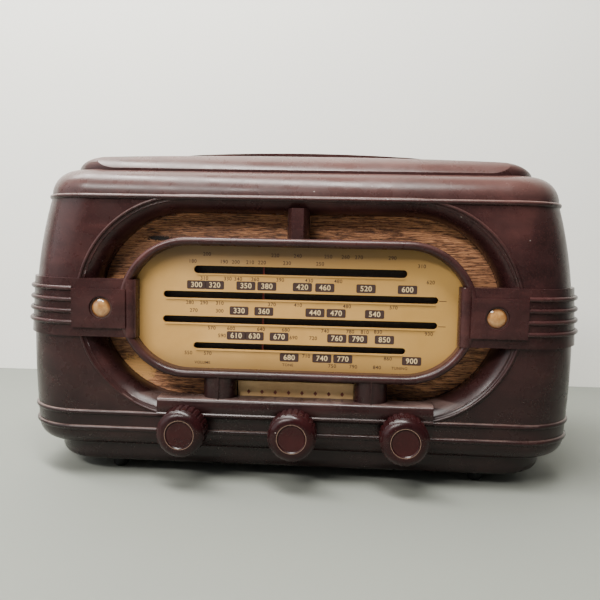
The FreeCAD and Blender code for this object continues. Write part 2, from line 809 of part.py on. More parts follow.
def slot(left, right, z, height):
    """The pieces of a slot with half-round ends."""
    r = height / 2
    a = left + r
    b = right - r
    return [
        [(a, z + r), (b, z + r)],
        [(b, z + r), (right, z), (b, z - r)],
        [(b, z - r), (a, z - r)],
        [(a, z - r), (left, z), (a, z + r)],
    ]


# ---------------------------------------------------------------- back, feet and chassis


def make_back():
    rim = [(199.0, 24.0), (212.0, 42.0), (214.0, 100.0), (210.5, 160.0), (198.5, 215.0)]
    rim.append((190.0, 229.5))
    outline = rim + [(-x, z) for x, z in reversed(rim)]
    loops = [outline_of(outline)]
    for row in (86.0, 186.0):
        for n in range(18):
            x = -170.0 + 20.0 * n
            upright_slot = [(x - 2.0, row - 14.0), (x + 2.0, row - 14.0)]
            upright_slot += [(x + 2.0, row + 14.0), (x - 2.0, row + 14.0)]
            loops.append(outline_of(upright_slot))
    loops.append(outline_of([(96.0, 30.0), (134.0, 30.0), (134.0, 54.0), (96.0, 54.0)]))
    holes = [(x, z, 1.8) for x, z in BACK_SCREWS] + [(-120.0, 42.0, 6.6)]
    plate("back_cover", 205.0, 206.5, loops, holes)
    screws = []
    for x, z in BACK_SCREWS:
        screws += [rod(x, z, 1.5, 195.0, 207.0), rod(x, z, 3.6, 206.5, 208.0)]
    keep(fuse(screws), "back_cover_screws")
    grommet = [(203.5, 4.0), (203.5, 8.5), (205.0, 8.5), (205.0, 6.3), (206.5, 6.3)]
    grommet += [(206.5, 8.5), (208.0, 8.5), (208.0, 4.0)]
    turned("mains_grommet", -120.0, 42.0, grommet)


def make_feet():
    wide = "Dims.foot_radius"
    feet = []
    for x, d in FEET:
        feet += [tapered_peg(x, d, 4.4, f"{wide} * 0.62", 0.0, 1.5), peg(x, d, 3.0, 10.0, 19.5)]
        feet.append(tapered_peg(x, d, f"{wide} * 0.62", wide, 1.5, 16.0))
    keep(fuse(feet), "rubber_feet")


def make_chassis():
    w = "Dims.chassis_half_width"
    low = "Dims.chassis_low_z"
    high = "Dims.chassis_high_z"
    skin = "Dims.sheet"
    walls = [
        block(f"-{w}", w, 50.0, 190.0, f"{high} - {skin}", high),
        block(f"-{w}", w, 50.0, f"50 + {skin}", low, high),
        block(f"-{w}", w, f"190 - {skin}", 190.0, low, high),
    ]
    for left, right in ((f"-{w}", f"{skin} - {w}"), (f"{w} - {skin}", w)):
        walls.append(block(left, right, 50.0, 190.0, low, high))
    for left, right in ((f"-{w}", "-148"), ("148", w)):
        walls.append(block(left, right, 50.0, 190.0, low, f"{low} + {skin}"))
    holes = [peg(x, d, 2.3, 15.0, 25.0) for x, d in CHASSIS_BOLTS]
    for n in (-1, 0, 1):
        holes.append(rod(f"{n} * Dims.knob_pitch", "Dims.knob_z", 5.0, 45.0, 55.0))
    keep(less(fuse(walls), holes), "chassis")
    bolts = []
    for x, d in CHASSIS_BOLTS:
        bolts += [peg(x, d, 2.2, 14.0, 27.0), peg(x, d, 4.6, 13.2, 16.0)]
        bolts.append(peg(x, d, 4.2, f"{low} + {skin}", f"{low} + {skin} + 3.2"))
    keep(fuse(bolts), "chassis_bolts")
    terminals = [block(98.0, 132.0, 190.0, 194.0, 34.0, 50.0)]
    terminals += [rod(x, 42.0, 3.2, 194.0, 202.0) for x in (107.0, 123.0)]
    keep(fuse(terminals), "aerial_terminals")


# ---------------------------------------------------------------- dial and grille

# The dial's slots: left end, right end, height of the centre line, width.
SLOTS = [(-79.0, 82.6, 163.3, 6.0), (-102.5, 106.3, 143.9, 5.4)]
SLOTS += [(-103.0, 106.3, 124.8, 5.4), (-79.0, 83.0, 104.8, 5.1)]
POINTER_X = -26.0
POINTER_SLOT = (-110.0, 110.0, 178.0, 8.0)
STANDOFFS = [(x, z) for x in (-95.0, 95.0) for z in (105.0, 160.0)]
PORTHOLE_Z = CENTRE_Z - 1.5
PORTHOLES = [(-dim("porthole_x"), PORTHOLE_Z), (dim("porthole_x"), PORTHOLE_Z)]


def make_dial():
    centre = dim("dial_centre_x")
    loops = [stadium(centre, CENTRE_Z, 49.7)] + [slot(*one) for one in SLOTS]
    panel = plate("dial_panel", 8.0, 10.5, loops)
    lips = front_sketch(panel, behind(7.2), "SlotLips")
    for left, right, z, height in SLOTS:
        add_chain(lips, slot(left + 2.0, right - 2.0, z - height / 2 - 0.6, 0.9))
    pad(panel, lips, 1.5, backwards=True, name="SlotLipsPad")
    radius = 49.0
    cut_z = 170.0
    reach = centre + math.sqrt(radius**2 - (cut_z - CENTRE_Z) ** 2)
    low = CENTRE_Z - radius
    right_arc = ((centre + radius, CENTRE_Z), (centre, low))
    left_arc = ((-centre - radius, CENTRE_Z), (-reach, cut_z))
    backing = [(-reach, cut_z), (reach, cut_z), right_arc, (-centre, low), left_arc]
    plate("dial_backing", 15.0, 16.0, [outline_of(backing)])
    keep(fuse([rod(x, z, 3.0, 16.0, 26.0) for x, z in STANDOFFS]), "dial_standoffs")
    for (x, z), side in zip(PORTHOLES, ("left", "right")):
        lens = [(9.5, 0.0), (9.5, 9.0), (8.0, 9.0), (8.0, 7.1), (-2.6, 7.1)]
        lens += [((-4.0, 3.9), (-4.5, 0.5)), (-4.5, 0.0)]
        turned(f"porthole_lens_{side}", x, z, lens)
    lamps = []
    holders = []
    for x, z in PORTHOLES:
        lamps.append(rod(x, z, 4.5, 11.0, 21.0))
        holders += [rod(x, z, 5.5, 21.0, 33.0), rod(x, z, 8.0, 32.0, 33.5)]
    keep(fuse(lamps), "pilot_lamps")
    keep(fuse(holders), "pilot_lamp_holders")
    keep(block(-44.9, 44.9, 14.0, 15.5, 63.0, 77.0), "nameplate_strip")


def make_grille():
    centre = dim("bezel_centre_x")
    passing = [(x, z, 3.3) for x, z in STANDOFFS] + [(x, z, 5.8) for x, z in PORTHOLES]
    cloth = [stadium(centre, CENTRE_Z, 73.2), slot(*POINTER_SLOT)]
    plate("speaker_cloth", 25.0, 26.0, cloth, passing)
    holes = [(x, z, 5.8) for x, z in PORTHOLES] + [(x, z, 1.4) for x, z in BAFFLE_SCREWS]
    holes.append(("Dims.speaker_x", "Dims.speaker_z", "Dims.speaker_radius - 7"))
    board = [stadium(centre, CENTRE_Z, 77.3), slot(*POINTER_SLOT)]
    plate("baffle_board", 26.0, 32.0, board, holes)
    screws = []
    for x, z in BAFFLE_SCREWS:
        screws += [rod(x, z, 1.3, 18.0, 33.0), rod(x, z, 2.6, 32.0, 33.6)]
    keep(fuse(screws), "baffle_screws")


def make_speaker():
    x = "Dims.speaker_x"
    z = "Dims.speaker_z"
    rim = dim("speaker_radius")
    basket = [(32.0, rim), (34.0, rim), (34.0, rim - 2.0), (58.0, 25.0), (58.0, 10.5)]
    basket += [(56.6, 10.5), (56.6, 23.6), (33.4, rim - 3.6), (32.0, rim - 3.6)]
    turned("speaker_frame", x, z, basket)
    turned("speaker_magnet", x, z, [(58.0, 0.0), (58.0, 23.0), (80.0, 23.0), (80.0, 0.0)])
    cone = [(35.4, 40.0), (35.4, 42.0), (36.4, 42.0), (52.0, 9.6), (56.6, 9.6)]
    cone += [(56.6, 8.8), (51.2, 8.8), (36.0, 40.0)]
    turned("speaker_cone", x, z, cone)
    cap = [(48.7, 11.2), (49.7, 11.2), ((46.2, 6.0), (45.0, 0.5)), (45.0, 0.0), (44.0, 0.0)]
    cap += [(44.0, 0.5), ((45.2, 6.2), (48.7, 11.2))]
    turned("speaker_dust_cap", x, z, cap)


# ---------------------------------------------------------------- parts on the chassis

# Where the valves stand: x, depth, foot radius, widest radius, height of the glass.
VALVES = {
    "rectifier_valve": (-52.0, 152.0, 13.0, 19.0, 72.0),
    "output_valve": (2.0, 152.0, 13.0, 19.0, 74.0),
    "detector_valve": (60.0, 150.0, 12.0, 15.0, 62.0),
    "converter_valve": (105.0, 75.0, 12.0, 15.0, 60.0),
    "if_valve": (105.0, 130.0, 12.0, 15.0, 60.0),
}


def make_valves():
    deck = dim("chassis_high_z")
    low = deck + 24.0
    bases = []
    sockets = []
    for label, (x, d, foot, wide, tall) in VALVES.items():
        top = low + tall
        neck = wide * 0.62
        glass = [(0.0, low), (foot, low), (foot, low + 6.0)]
        glass += [((wide * 0.98, low + tall * 0.34), (wide * 0.86, low + tall * 0.60))]
        glass += [((neck, low + tall * 0.72), (neck, low + tall * 0.86))]
        glass += [((neck * 0.72, top - tall * 0.04), (0.6, top)), (0.0, top)]
        upright(label, x, d, glass)
        bases.append(peg(x, d, foot + 1.5, deck + 4.0, low))
        sockets.append(peg(x, d, foot + 3.5, "Dims.chassis_high_z", deck + 4.0))
    keep(fuse(bases), "valve_bases")
    keep(fuse(sockets), "valve_sockets")
    cans = []
    hollows = []
    for label in ("converter_valve", "if_valve"):
        x, d = VALVES[label][:2]
        cans.append(peg(x, d, 19.5, "Dims.chassis_high_z", deck + 80.0))
        hollows.append(peg(x, d, 18.7, deck - 5.0, deck + 90.0))
    keep(less(fuse(cans), hollows), "valve_shields")


def make_transformers_and_cans():
    deck = "Dims.chassis_high_z"
    keep(block(-172.0, -108.0, 124.0, 150.0, deck, f"{deck} + 62"), "mains_transformer_core")
    bells = [
        block(-162.0, -118.0, 108.0, 124.0, f"{deck} + 10", f"{deck} + 52"),
        block(-162.0, -118.0, 150.0, 166.0, f"{deck} + 10", f"{deck} + 52"),
    ]
    keep(fuse(bells), "mains_transformer_cover")
    stack = [block(-96.0, -56.0, 96.0, 112.0, deck, f"{deck} + 34")]
    stack.append(block(-88.0, -64.0, 90.0, 118.0, f"{deck} + 8", f"{deck} + 26"))
    keep(fuse(stack), "output_transformer")
    for label, d in (("if_can_front", 62.0), ("if_can_rear", 118.0)):
        can = [block(134.0, 166.0, d, d + 32.0, deck, f"{deck} + 66")]
        can.append(peg(150.0, d + 16.0, 3.0, f"{deck} + 66", f"{deck} + 69"))
        keep(fuse(can), label)
    can = [(0.0, 62.0), (12.0, 62.0), (12.0, 118.0), ((11.1, 120.1), (9.0, 121.0)), (0.0, 121.0)]
    upright("electrolytic_can", -6.0, 100.0, can)


# ---------------------------------------------------------------- tuning drive

PLATE_PITCH = 3.0
GANGS = (62.0, 88.0)  # depth of the first rotor plate of each half
ROTOR_START = 66.5 + 90.0  # how far the rotor is turned out of the stator at rest, plus a quarter


def make_gang():
    x = "Dims.drum_x"
    z = "Dims.drum_z"
    deck = "Dims.chassis_high_z"
    shaft = "Dims.shaft_radius"
    frame = [block(f"{x} - 30", f"{x} + 30", 55.0, 115.0, deck, f"{deck} + 1.2")]
    for d in (55.0, 113.8):
        frame.append(block(f"{x} - 30", f"{x} + 30", d, d + 1.2, deck, f"{z} + 14"))
    bearing = [rod(x, z, f"{shaft} + 0.08", 50.0, 120.0)]
    keep(less(fuse(frame), bearing), "gang_frame")
    stator = []
    for side in (-1, 1):
        edges = sorted((side * 26.0, side * 28.0))
        low = f"{z} - 24"
        stator.append(
            block(f"{x} + {edges[0]}", f"{x} + {edges[1]}", 56.2, 113.8, low, f"{z} - 18")
        )
    rotor = [rod(x, z, 5.0, 59.0, 111.0)]
    for start in GANGS:
        for n in range(6):
            d = start + PLATE_PITCH * n
            rotor.append(rod(x, z, 24.0, d, d + 0.8, 180.0, ROTOR_START - 90.0))
            if n < 5:
                d += PLATE_PITCH / 2
                low = f"{z} - 30"
                stator.append(block(f"{x} - 27", f"{x} + 27", d, d + 0.8, low, f"{z} - 6.5"))
    keep(fuse(stator), "gang_stator")
    keep(less(fuse(rotor), [rod(x, z, shaft, 50.0, 120.0)]), "gang_rotor")
    keep(rod(x, z, shaft, 34.0, 114.6), "gang_shaft")
    drum = [(34.5, 3.0), (34.5, 9.0), (39.5, 9.0), (39.5, 56.0), (35.5, 56.0), (35.5, 65.5)]
    groove = dim("drum_radius") - dim("cord_radius") - 0.1
    for d in (38.0, 43.0):
        drum += [(d - 1.2, 65.5), (d - 0.6, groove), (d + 0.6, groove), (d + 1.2, 65.5)]
    drum += [(45.5, 65.5), (45.5, 56.0), (41.5, 56.0), (41.5, 9.0), (47.0, 9.0), (47.0, 3.0)]
    turned("tuning_drum", x, z, drum)


def make_controls():
    z = "Dims.knob_z"
    shaft = dim("shaft_radius")
    fit = shaft + 0.08
    x = "Dims.knob_pitch"
    groove = dim("spindle_radius") - dim("cord_radius") - 0.1
    spindle = [(-14.0, 0.0), (-14.0, shaft), (40.0, shaft), (40.0, 7.0), (41.4, 7.0)]
    spindle += [(42.4, groove), (43.6, groove), (44.6, 7.0), (46.0, 7.0), (46.0, shaft)]
    spindle += [(58.0, shaft), (58.0, 0.0)]
    turned("tuning_spindle", x, z, spindle)
    bush = [(47.0, fit), (47.0, 4.9), (48.4, 4.9), (48.4, 7.5), (50.0, 7.5), (50.0, 4.9)]
    bush += [(56.0, 4.9), (56.0, fit)]
    turned("spindle_bush", x, z, bush)
    control = [(44.0, fit), (44.0, 4.9), (47.0, 4.9), (47.0, 8.0), (50.0, 8.0), (50.0, 4.9)]
    control += [(51.2, 4.9), (51.2, 12.5), (70.0, 12.5), (70.0, 0.0), (64.0, 0.0), (64.0, fit)]
    for name, x in (("volume", "-Dims.knob_pitch"), ("tone", 0)):
        turned(f"{name}_control", x, z, control)
        keep(rod(x, z, "Dims.shaft_radius", -14.0, 63.5), f"{name}_shaft")
    for name, x in (("volume", "-Dims.knob_pitch"), ("tone", 0), ("tuning", "Dims.knob_pitch")):
        make_knob(f"{name}_knob", x)


def make_knob(label, x):
    """A round knob with a fluted skirt and a dished face."""
    r = dim("knob_radius")
    bore = dim("shaft_radius")
    profile = [(-25.0, 0.0), (-25.2, 9.6), (-26.0, 10.3), (-26.0, 11.1)]
    profile += [((-25.2, 14.4), (-22.8, r)), (-22.4, r), (-21.8, r + 0.9)]
    profile += [(-8.0, r + 1.1), (-8.0, bore), (-14.0, bore), (-14.0, 0.0)]
    knob = turned(label, x, "Dims.knob_z", profile)
    flutes = front_sketch(knob, behind(-22.6), "Flutes")
    for n in range(24):
        turn = math.radians(15.0 * n)
        reach = r + 1.35
        add_free_circle(
            flutes, num(x) + reach * math.cos(turn), dim("knob_z") + reach * math.sin(turn), 1.1
        )
    pocket(knob, flutes, 19.0, name="FlutesCut")


def add_free_circle(sketch, across, up, radius):
    sketch.addGeometry(Part.Circle(Vector(across, up, 0), Vector(0, 0, 1), radius), False)


IDLERS = {
    "idler_left": (-dim("idler_x"), dim("idler_z")),
    "idler_right": (dim("idler_x"), dim("idler_z")),
    "idler_inner": (
        dim("drum_x") - dim("drum_radius") - dim("idler_radius"),
        dim("idler_z") - 2 * dim("idler_radius"),
    ),
}


def make_idlers():
    groove = dim("idler_radius") - dim("cord_radius") - 0.1
    wheel = [(36.4, 1.58), (36.4, 7.2), (37.2, 7.2), (37.5, groove), (38.5, groove)]
    wheel += [(38.8, 7.2), (39.6, 7.2), (39.6, 1.58)]
    pins = []
    for label, (x, z) in IDLERS.items():
        turned(label, x, z, wheel)
        pins += [rod(x, z, 2.6, 32.0, 36.3), rod(x, z, 1.5, 36.0, 41.0)]
        pins.append(rod(x, z, 2.8, 39.8, 41.0))
    keep(fuse(pins), "idler_pins")
    rail = [block(-126.0, 126.0, 36.0, 37.5, 182.0, 186.0)]
    rail += [block(x - 3.0, x + 3.0, 32.0, 37.0, 182.0, 186.0) for x in (-123.0, 123.0)]
    keep(fuse(rail), "pointer_rail")
    cord_z = dim("idler_z") + dim("idler_radius")
    x = POINTER_X
    pointer = [
        block(x - 0.6, x + 0.6, 12.3, 13.5, 95.0, 180.4),
        block(x - 2.0, x + 2.0, 12.3, 39.2, 179.2, 180.4),
        block(x - 4.0, x + 4.0, 36.8, 39.2, cord_z - 1.2, 179.9),
        block(x - 3.0, x + 3.0, 38.0, 39.2, 179.2, 186.0),
    ]
    keep(less(fuse(pointer), [bar(cord_z, 38.0, 0.5, x - 6.0, x + 6.0)]), "pointer")


def tangent(first, r1, second, r2, side):
    """Where an outer tangent line touches two circles."""
    ux = (second[0] - first[0]) / math.dist(first, second)
    uz = (second[1] - first[1]) / math.dist(first, second)
    along = (r1 - r2) / math.dist(first, second)
    out = side * math.sqrt(1 - along * along)
    normal = (ux * along - uz * out, uz * along + ux * out)
    return [(c[0] + r * normal[0], c[1] + r * normal[1]) for c, r in ((first, r1), (second, r2))]


def arc_round(centre, radius, start, end):
    """The piece of a circle from one angle to another, in degrees."""
    angles = [math.radians(a) for a in (start, (start + end) / 2, end)]
    return [(centre[0] + radius * math.cos(a), centre[1] + radius * math.sin(a)) for a in angles]


def angle_at(centre, point):
    return math.degrees(math.atan2(point[1] - centre[1], point[0] - centre[0]))


def make_cord(label, depth, pieces, x, z):
    """A closed cord along the pieces, which start and end where it runs along X."""
    body = new_body(label)
    path = front_sketch(body, behind(depth), f"Path_{label}")
    add_chain(path, pieces)
    profile = side_sketch(body, x, f"Section_{label}")
    add_circle(profile, behind(depth), z, "Dims.cord_radius")
    pipe(body, profile, path, "Cord")


def make_cords():
    drum = (dim("drum_x"), dim("drum_z"))
    big = dim("drum_radius")
    small = dim("idler_radius")
    left, right, inner = (IDLERS[f"idler_{side}"] for side in ("left", "right", "inner"))
    leave, land = tangent(right, small, drum, big, 1)
    run_z = right[1] + small
    pieces = [
        [(0.0, run_z), (right[0], run_z)],
        arc_round(right, small, 90.0, angle_at(right, leave)),
        [leave, land],
        arc_round(drum, big, angle_at(drum, land), -180.0),
        [(drum[0] - big, drum[1]), (inner[0] + small, inner[1])],
        arc_round(inner, small, 0.0, 90.0),
        [(inner[0], inner[1] + small), (left[0], left[1] - small)],
        arc_round(left, small, 270.0, 90.0),
        [(left[0], run_z), (0.0, run_z)],
    ]
    make_cord("pointer_cord", 38.0, pieces, 0.0, run_z)
    spindle = (dim("knob_pitch"), dim("knob_z"))
    thin = dim("spindle_radius")
    off, on = tangent(drum, big, spindle, thin, 1)
    back_on, back_off = tangent(drum, big, spindle, thin, -1)
    turn = angle_at(spindle, back_off)
    belt = [
        arc_round(drum, big, 90.0, angle_at(drum, off)),
        [off, on],
        arc_round(spindle, thin, angle_at(spindle, on), turn - 360.0 if turn > 0 else turn),
        [back_off, back_on],
        arc_round(drum, big, angle_at(drum, back_on) % 360.0, 90.0),
    ]
    make_cord("drive_cord", 43.0, belt, "Dims.drum_x", "Dims.drum_z + Dims.drum_radius")


# ---------------------------------------------------------------- build, check and write

make_cabinet()
make_back()
make_feet()
make_chassis()
make_dial()
make_grille()
make_speaker()
make_valves()
make_transformers_and_cans()
make_gang()
make_controls()
make_idlers()
make_cords()
doc.recompute()

broken = [thing.Name for thing in doc.Objects if {"Invalid", "Error"} & set(thing.State)]
if broken:
    raise RuntimeError(f"these did not build: {broken}")
for thing in finished:
    if thing.Shape.isNull() or not thing.Shape.isValid():
        raise RuntimeError(f"{thing.Label} has no valid shape")
os.makedirs("parts", exist_ok=True)
for thing in finished:
    thing.Shape.exportStep(f"parts/{thing.Label}.step")
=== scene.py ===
import json
import math

import bpy
from mathutils import Matrix, Vector


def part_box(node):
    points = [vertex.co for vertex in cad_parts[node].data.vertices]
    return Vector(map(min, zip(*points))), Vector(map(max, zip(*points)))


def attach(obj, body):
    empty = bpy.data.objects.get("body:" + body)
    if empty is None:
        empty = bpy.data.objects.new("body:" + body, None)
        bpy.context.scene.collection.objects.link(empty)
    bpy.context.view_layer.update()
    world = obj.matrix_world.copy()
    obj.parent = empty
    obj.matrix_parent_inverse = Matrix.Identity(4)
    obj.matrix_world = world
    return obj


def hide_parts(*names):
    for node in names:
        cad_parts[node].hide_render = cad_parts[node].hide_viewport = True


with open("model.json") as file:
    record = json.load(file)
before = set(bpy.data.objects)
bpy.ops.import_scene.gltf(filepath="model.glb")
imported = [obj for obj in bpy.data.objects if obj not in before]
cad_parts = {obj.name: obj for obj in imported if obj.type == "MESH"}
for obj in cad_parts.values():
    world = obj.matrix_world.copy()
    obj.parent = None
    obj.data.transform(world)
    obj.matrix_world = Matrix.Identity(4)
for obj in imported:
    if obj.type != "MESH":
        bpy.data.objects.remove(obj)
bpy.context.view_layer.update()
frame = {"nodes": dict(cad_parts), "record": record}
NODES = frame["nodes"]
FRONT = -0.091  # the cabinet's flat front face
MM = 0.001
PORTHOLE = (0.1475, 0.133)  # how far out and how high the portholes' centres are
BEAD_HEIGHTS = (0.2170, 0.0517, 0.0394, 0.0650)  # lid, two on the base, ledge

# ---------------------------------------------------------------- materials


class Look:
    """One procedural material. Coordinates are the object's own, in metres."""

    def __init__(self, name, roughness=0.5, metallic=0.0):
        self.material = bpy.data.materials.new(name)
        self.material.use_nodes = True
        self.tree = self.material.node_tree
        self.skin = self.tree.nodes["Principled BSDF"]
        self.skin.inputs["Roughness"].default_value = roughness
        self.skin.inputs["Metallic"].default_value = metallic
        self.place = self.add("ShaderNodeTexCoord").outputs["Object"]

    def add(self, kind, *sources, **settings):
        """A node with its inputs linked or set in order; None leaves one alone."""
        made = self.tree.nodes.new(kind)
        for key, value in settings.items():
            setattr(made, key, value)
        for number, source in enumerate(sources):
            self.feed(made.inputs[number], source)
        return made

    def feed(self, socket, source):
        if source is None:
            return
        if isinstance(source, bpy.types.NodeSocket):
            self.tree.links.new(source, socket)
        else:
            socket.default_value = source

    def noise(self, scale, detail=4.0, roughness=0.55, stretch=(1, 1, 1), distort=0.0):
        where = self.place
        if stretch != (1, 1, 1):
            where = self.stretched(stretch)
        made = self.add("ShaderNodeTexNoise")
        self.feed(made.inputs["Vector"], where)
        for name, value in (("Scale", scale), ("Detail", detail), ("Roughness", roughness)):
            made.inputs[name].default_value = value
        made.inputs["Distortion"].default_value = distort
        return made.outputs["Fac"]

    def stretched(self, stretch):
        made = self.add("ShaderNodeMapping")
        self.feed(made.inputs["Vector"], self.place)
        made.inputs["Scale"].default_value = stretch
        return made.outputs["Vector"]

    def math(self, operation, *sources):
        return self.add("ShaderNodeMath", *sources, operation=operation).outputs[0]

    def band(self, source, low, high, to_low=0.0, to_high=1.0):
        """source from low to high, mapped smoothly on to another range and held there."""
        made = self.add("ShaderNodeMapRange", source, low, high, to_low, to_high)
        made.interpolation_type = "SMOOTHSTEP"
        return made.outputs[0]

    def ramp(self, source, *stops):
        made = self.add("ShaderNodeValToRGB", source)
        bar = made.color_ramp.elements
        while len(bar) < len(stops):
            bar.new(1.0)
        for slot, (where, colour) in zip(bar, stops):
            slot.position = where
            slot.color = (*colour, 1.0)
        return made.outputs["Color"]

    def mix(self, factor, first, second):
        made = self.add("ShaderNodeMix", data_type="RGBA", clamp_factor=True)
        self.feed(made.inputs[0], factor)
        for number, colour in ((6, first), (7, second)):
            if isinstance(colour, tuple):
                colour = (*colour, 1.0)
            self.feed(made.inputs[number], colour)
        return made.outputs[2]

    def split(self, vector=None):
        return self.add("ShaderNodeSeparateXYZ", vector or self.place).outputs

    def facing(self):
        """The surface's normal, as three numbers."""
        return self.split(self.add("ShaderNodeNewGeometry").outputs["Normal"])

    def off(self, value, middle):
        """How far a value is from a middle one, either way."""
        return self.math("ABSOLUTE", self.math("SUBTRACT", value, middle))

    def from_porthole(self):
        """Distance from the nearer porthole's axis."""
        x, _, z = self.split()
        aside = self.math("SUBTRACT", self.math("ABSOLUTE", x), PORTHOLE[0])
        height = self.math("SUBTRACT", z, PORTHOLE[1])
        squares = self.math("ADD", self.math("POWER", aside, 2.0), self.math("POWER", height, 2.0))
        return self.math("SQRT", squares)

    def near(self, x, z, centre_x, centre_z, half_x, half_z, ragged):
        """A ragged oval patch: one at its centre, nought outside it."""
        across = self.math("DIVIDE", self.math("SUBTRACT", x, centre_x), half_x)
        up = self.math("DIVIDE", self.math("SUBTRACT", z, centre_z), half_z)
        out = self.math("ADD", self.math("POWER", across, 2.0), self.math("POWER", up, 2.0))
        return self.band(self.math("ADD", out, self.band(ragged, 0.3, 0.7, -0.5, 0.5)), 1.0, 0.45)

    def colour(self, source):
        self.feed(self.skin.inputs["Base Color"], source)

    def rough(self, source):
        self.feed(self.skin.inputs["Roughness"], source)

    def bump(self, *layers):
        """Layers of (height, depth in metres)."""
        normal = None
        for height, depth in layers:
            made = self.add("ShaderNodeBump")
            made.inputs["Strength"].default_value = 1.0
            made.inputs["Distance"].default_value = depth
            self.feed(made.inputs["Height"], height)
            if normal is not None:
                self.feed(made.inputs["Normal"], normal)
            normal = made.outputs["Normal"]
        self.feed(self.skin.inputs["Normal"], normal)


def worn_and_highlit_beads(look):
    """Pale brown on the upward tops of the beads, partly handling wear and partly a painted highlight, and
    a painted highlight ring on the portholes' rims.
    """
    z = look.split()[2]
    on_bead = None
    for height in BEAD_HEIGHTS:
        near = look.band(look.off(z, height), 0.0030, 0.0018)
        on_bead = near if on_bead is None else look.math("MAXIMUM", on_bead, near)
    patchy = look.band(look.noise(120.0, 5.0, 0.7, stretch=(0.2, 0.2, 1.0)), 0.35, 0.65, 0.15, 1.0)
    up = look.band(look.facing()[2], 0.45, 0.9)
    # Painted highlight: a pale ring round each porthole's rim.
    rim_highlight = look.band(look.off(look.from_porthole(), 0.0079), 0.0006, 0.0003, 0.0, 0.7)
    up = look.math("MAXIMUM", up, rim_highlight)
    on_bead = look.math("MAXIMUM", on_bead, rim_highlight)
    return look.math("MULTIPLY", look.math("MULTIPLY", on_bead, patchy), up)


def bakelite(name, dark, mid, warm, dust_and_sheen, polish, beads_and_low_shade=False, gloss=0.32):
    """Moulded bakelite: clouded pigment, fine flow streaks, handling haze, and pale settled dust on
    up-facing high surfaces that is also a painted highlight on the lid's rounds. With the bead option the
    cabinet also gets painted shade towards the bottom, and pale bead tops that are partly handling wear
    and partly a painted highlight.
    """
    look = Look(name)
    clouds = look.noise(14.0, 6.0, 0.62, distort=0.6)
    flow = look.noise(60.0, 5.0, 0.6, stretch=(0.35, 1.0, 1.3))
    grain = look.noise(900.0, 2.0, 0.5)
    blend = look.math("ADD", look.math("MULTIPLY", clouds, 0.6), look.math("MULTIPLY", flow, 0.4))
    body = look.ramp(blend, (0.36, dark), (0.52, mid), (0.68, warm))
    body = look.mix(look.band(grain, 0.50, 0.72, 0.0, 0.5), body, warm)
    up = look.facing()[2]
    # Pale settled dust on up-facing surfaces high on the body; it also serves as a painted highlight on
    # the lid's front rounds.
    dust_and_sheen_mask = look.math("MULTIPLY", look.band(up, -0.25, 1.0), look.band(clouds, 0.3, 0.7, 0.6, 1.0))
    dust_and_sheen_mask = look.math("MULTIPLY", dust_and_sheen_mask, look.band(look.split()[2], 0.150, 0.212, 0.2, 1.0))
    body = look.mix(look.math("MULTIPLY", dust_and_sheen_mask, dust_and_sheen), body, (0.150, 0.078, 0.066))
    specks = look.add("ShaderNodeTexVoronoi", look.place, feature="F1")
    specks.inputs["Scale"].default_value = 260.0
    chosen = look.math("GREATER_THAN", look.split(specks.outputs["Color"])[0], 0.985)
    dot = look.math("LESS_THAN", specks.outputs["Distance"], 0.10)
    body = look.mix(look.math("MULTIPLY", look.math("MULTIPLY", chosen, dot), 0.7), body, (0.5, 0.44, 0.4))
    if beads_and_low_shade:
        # Painted shade: the cabinet's colour darkens towards the bottom.
        low = look.band(look.split()[2], 0.015, 0.140, 0.75, 0.0)
        body = look.mix(low, body, tuple(c * 0.25 for c in dark))
        # Pale bead tops: partly handling wear, partly a painted highlight.
        body = look.mix(look.math("MULTIPLY", worn_and_highlit_beads(look), 0.45), body, (0.28, 0.19, 0.165))
    look.colour(body)
    haze = look.noise(33.0, 5.0, 0.65)
    look.rough(look.band(haze, 0.3, 0.75, polish, polish + 0.16))
    look.skin.inputs["Specular IOR Level"].default_value = gloss
    look.bump((clouds, 0.00012), (look.noise(420.0, 3.0), 0.000016), (grain, 0.000006))
    return look.material


def metal(name, colour, roughness, streak=(1, 1, 1), tarnish=0.35):
    look = Look(name, roughness, 1.0)
    streaks = look.noise(320.0, 4.0, 0.6, stretch=streak)
    patches = look.noise(45.0, 5.0, 0.6)
    dull = tuple(c * (1 - tarnish) for c in colour)
    look.colour(look.ramp(patches, (0.3, dull), (0.7, colour)))
    look.rough(look.band(streaks, 0.25, 0.75, roughness - 0.08, roughness + 0.14))
    look.bump((streaks, 0.00003))
    return look.material


def plain(name, dark, light, roughness, scale=180.0, depth=0.00005):
    """A matt or satin surface with mottling at the given scale."""
    look = Look(name, roughness)
    clouds = look.noise(scale * 0.2, 5.0, 0.6)
    fine = look.noise(scale * 3.0, 3.0, 0.6)
    body = look.ramp(clouds, (0.3, dark), (0.7, light))
    look.colour(look.mix(look.band(fine, 0.5, 0.8, 0.0, 0.3), body, light))
    look.rough(look.band(fine, 0.3, 0.7, roughness - 0.06, roughness + 0.08))
    look.bump((look.noise(scale, 4.0), depth), (fine, depth * 0.4))
    return look.material


